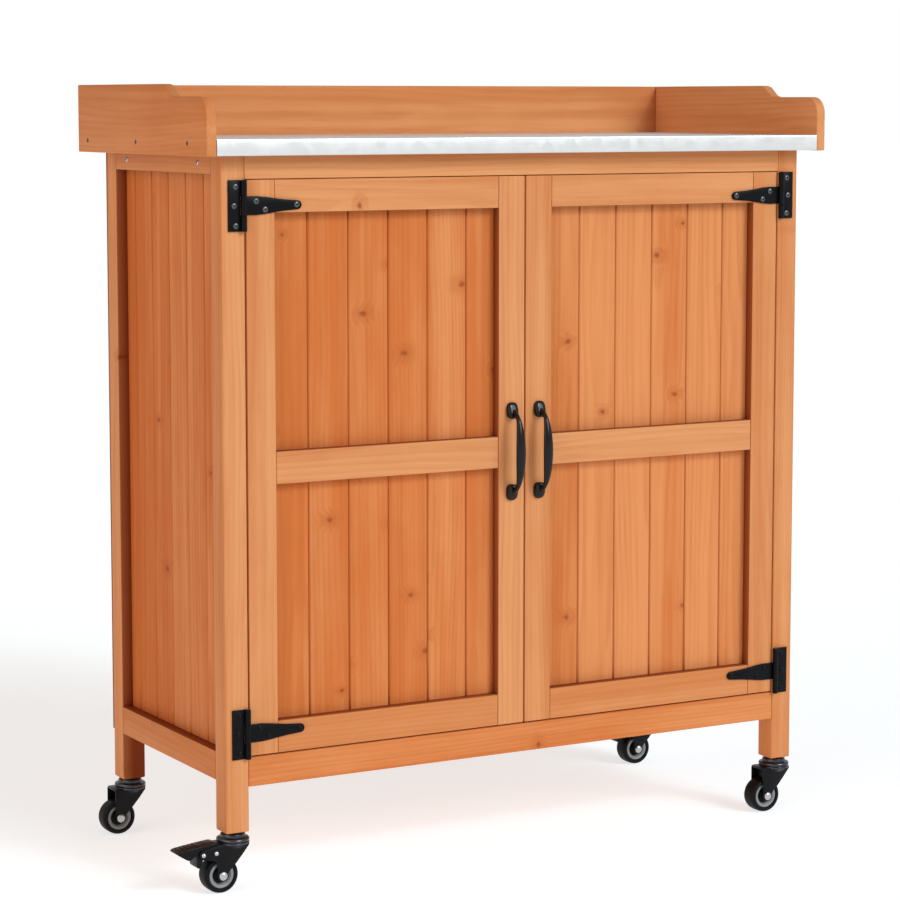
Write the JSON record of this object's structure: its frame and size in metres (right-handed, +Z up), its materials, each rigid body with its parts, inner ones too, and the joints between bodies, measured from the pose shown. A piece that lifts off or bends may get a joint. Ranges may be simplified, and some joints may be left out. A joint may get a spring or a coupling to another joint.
{
  "type": "potting bench",
  "caption": "Rolling garden potting bench: stained fir cabinet with hinged plank doors, a shelf inside, a steel worktop with a raised gallery, and swivel casters.",
  "frame": {"origin": "middle of the bounding box, on the floor under the wheels", "axes": "+Z up, the doors face -Y, +X to the right seen from the front"},
  "size_m": [1.0648, 0.4627, 1.119],
  "materials": {
    "frame_wood": "orange-stained fir, satin",
    "door_wood": "orange-stained fir, satin",
    "panel_planks": "orange-stained fir planks, satin",
    "inner_boards": "stained fir, matt",
    "steel_sheet": "light grey galvanised sheet, satin",
    "hinge_black": "black powder coat",
    "handle_black": "black gloss enamel",
    "caster_zinc": "dark plated steel",
    "caster_black": "black coated steel",
    "wheel_rubber": "black rubber tyre on a grey hub"
  },
  "bodies": {
    "cabinet": {"post_front_left": "frame_wood", "post_front_right": "frame_wood", "post_back_left": "frame_wood", "post_back_right": "frame_wood", "front_top_rail": "frame_wood", "front_bottom_rail": "frame_wood", "back_top_rail": "frame_wood", "back_bottom_rail": "frame_wood", "left_side_top_rail": "frame_wood", "left_side_bottom_rail": "frame_wood", "left_side_panel": "panel_planks", "right_side_top_rail": "frame_wood", "right_side_bottom_rail": "frame_wood", "right_side_panel": "panel_planks", "back_panel": "inner_boards", "cabinet_floor": "inner_boards", "shelf": "inner_boards", "left_shelf_batten": "inner_boards", "right_shelf_batten": "inner_boards", "tabletop_board": "inner_boards", "gallery_left": "frame_wood", "gallery_right": "frame_wood", "gallery_back": "frame_wood", "steel_top": "steel_sheet", "left_lower_hinge_leaf": "hinge_black", "left_upper_hinge_leaf": "hinge_black", "right_lower_hinge_leaf": "hinge_black", "right_upper_hinge_leaf": "hinge_black", "caster_front_left_stem": "caster_zinc", "caster_front_right_stem": "caster_zinc", "caster_back_left_stem": "caster_zinc", "caster_back_right_stem": "caster_zinc"},
    "left_door": {"left_door_hinge_stile": "door_wood", "left_door_meeting_stile": "door_wood", "left_door_top_rail": "door_wood", "left_door_bottom_rail": "door_wood", "left_door_mid_rail": "door_wood", "left_door_panel": "panel_planks", "left_lower_hinge_strap": "hinge_black", "left_upper_hinge_strap": "hinge_black", "left_door_handle": "handle_black"},
    "right_door": {"right_door_hinge_stile": "door_wood", "right_door_meeting_stile": "door_wood", "right_door_top_rail": "door_wood", "right_door_bottom_rail": "door_wood", "right_door_mid_rail": "door_wood", "right_door_panel": "panel_planks", "right_lower_hinge_strap": "hinge_black", "right_upper_hinge_strap": "hinge_black", "right_door_handle": "handle_black"},
    "front_left_swivel": {"caster_front_left_fork": "caster_black"},
    "front_left_wheel": {"caster_front_left_wheel": "wheel_rubber"},
    "front_right_swivel": {"caster_front_right_fork": "caster_black"},
    "front_right_wheel": {"caster_front_right_wheel": "wheel_rubber"},
    "back_left_swivel": {"caster_back_left_fork": "caster_black"},
    "back_left_wheel": {"caster_back_left_wheel": "wheel_rubber"},
    "back_right_swivel": {"caster_back_right_fork": "caster_black"},
    "back_right_wheel": {"caster_back_right_wheel": "wheel_rubber"},
    "front_left_brake": {"caster_front_left_brake_pedal": "caster_black"},
    "back_right_brake": {"caster_back_right_brake_pedal": "caster_black"}
  },
  "joints": [
    {"name": "left_door_swing", "type": "hinge", "parent": "cabinet", "child": "left_door", "pos_m": [-0.42788, -0.203, 0.59], "axis": [0, 0, -1], "range_deg": [0, 175]},
    {"name": "right_door_swing", "type": "hinge", "parent": "cabinet", "child": "right_door", "pos_m": [0.46813, -0.203, 0.59], "axis": [0, 0, 1], "range_deg": [0, 175]},
    {"name": "front_left_caster_swivel", "type": "hinge", "parent": "cabinet", "child": "front_left_swivel", "pos_m": [-0.44238, -0.181, 0.07], "axis": [0, 0, 1], "continuous": true},
    {"name": "front_left_wheel_roll", "type": "hinge", "parent": "front_left_swivel", "child": "front_left_wheel", "pos_m": [-0.46487, -0.181, 0.02575], "axis": [0, 1, 0], "continuous": true},
    {"name": "front_right_caster_swivel", "type": "hinge", "parent": "cabinet", "child": "front_right_swivel", "pos_m": [0.48263, -0.181, 0.07], "axis": [0, 0, 1], "continuous": true},
    {"name": "front_right_wheel_roll", "type": "hinge", "parent": "front_right_swivel", "child": "front_right_wheel", "pos_m": [0.46013, -0.181, 0.02575], "axis": [0, 1, 0], "continuous": true},
    {"name": "back_left_caster_swivel", "type": "hinge", "parent": "cabinet", "child": "back_left_swivel", "pos_m": [-0.44238, 0.184, 0.07], "axis": [0, 0, 1], "continuous": true},
    {"name": "back_left_wheel_roll", "type": "hinge", "parent": "back_left_swivel", "child": "back_left_wheel", "pos_m": [-0.46487, 0.184, 0.02575], "axis": [0, 1, 0], "continuous": true},
    {"name": "back_right_caster_swivel", "type": "hinge", "parent": "cabinet", "child": "back_right_swivel", "pos_m": [0.48263, 0.184, 0.07], "axis": [0, 0, 1], "continuous": true},
    {"name": "back_right_wheel_roll", "type": "hinge", "parent": "back_right_swivel", "child": "back_right_wheel", "pos_m": [0.46013, 0.184, 0.02575], "axis": [0, 1, 0], "continuous": true},
    {"name": "front_left_brake_press", "type": "hinge", "parent": "front_left_swivel", "child": "front_left_brake", "pos_m": [-0.49388, -0.181, 0.0585], "axis": [0, -1, 0], "range_deg": [0, 12]},
    {"name": "back_right_brake_press", "type": "hinge", "parent": "back_right_swivel", "child": "back_right_brake", "pos_m": [0.43112, 0.184, 0.0585], "axis": [0, -1, 0], "range_deg": [0, 12]}
  ]
}
